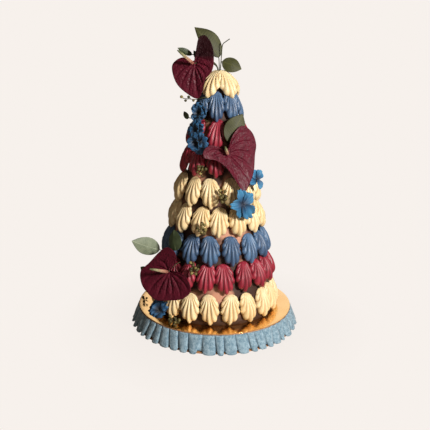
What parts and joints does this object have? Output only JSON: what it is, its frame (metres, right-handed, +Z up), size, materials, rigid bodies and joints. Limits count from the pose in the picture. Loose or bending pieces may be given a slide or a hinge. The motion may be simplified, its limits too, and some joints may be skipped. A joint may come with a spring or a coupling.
{
  "type": "madeleine tower",
  "caption": "Cone of chocolate-coated shell cakes in ivory, red and blue rows on a gold card and pleated cloth drum, dressed with anthuriums, blue blooms, leaves and berries.",
  "frame": {"origin": "centre of the base board's flat underside, on the tower's axis at floor level", "axes": "+Z up along the tower's axis, -Y towards the front, where the flowers are, +X to the viewer's right"},
  "size_m": [0.439, 0.44, 0.753],
  "materials": {
    "ivory_cake": "satin ivory chocolate shell over a shell cake",
    "slate_cake": "satin slate-blue chocolate shell over a shell cake",
    "raspberry_cake": "satin raspberry-red chocolate shell over a shell cake",
    "core": "matt peach-pink coated foam cone",
    "board": "kraft-brown board",
    "drum": "plain board drum, hidden by the skirt",
    "gold_card": "gold mirror foil laminated on card",
    "cloth": "pleated slate-blue felted cloth",
    "spathe": "waxy burgundy spathe with raised pale veins",
    "spadix": "grainy spadix, pink at its foot and green at its tip",
    "leaf": "satin olive-green leaf",
    "pale_leaf": "matt grey-green leaf",
    "bloom": "thin crinkled teal-blue petals",
    "berry": "matt olive-green seed heads and stems"
  },
  "bodies": {
    "root": {"anthurium_spadix_bottom": "spadix", "anthurium_spadix_middle": "spadix", "anthurium_spadix_top": "spadix", "anthurium_spathe_bottom": "spathe", "anthurium_spathe_middle": "spathe", "anthurium_spathe_top": "spathe", "base_board": "board", "bloom_middle_behind": "bloom", "bloom_middle_front": "bloom", "bloom_on_card": "bloom", "bloom_upper_first": "bloom", "bloom_upper_second": "bloom", "bloom_upper_third": "bloom", "core": "core", "drum": "drum", "gold_card": "gold_card", "leaf_crown_dark": "leaf", "leaf_crown_large": "leaf", "leaf_crown_narrow": "leaf", "leaf_crown_right": "leaf", "leaf_low_dark": "leaf", "leaf_low_left": "leaf", "leaf_low_pale": "pale_leaf", "leaf_upper_left": "leaf", "leaf_upper_right": "leaf", "madeleine_row_1": "ivory_cake", "madeleine_row_2": "raspberry_cake", "madeleine_row_3": "slate_cake", "madeleine_row_4": "ivory_cake", "madeleine_row_5": "ivory_cake", "madeleine_row_6": "raspberry_cake", "madeleine_row_7": "raspberry_cake", "madeleine_row_8": "slate_cake", "madeleine_row_9": "ivory_cake", "skirt": "cloth", "sprig_card_edge": "berry", "sprig_centre_lower": "berry", "sprig_centre_middle": "berry", "sprig_centre_upper": "berry", "sprig_crown_left": "berry", "sprig_low": "berry", "sprig_on_card": "berry", "twig_crown": "leaf"}
  },
  "joints": []
}
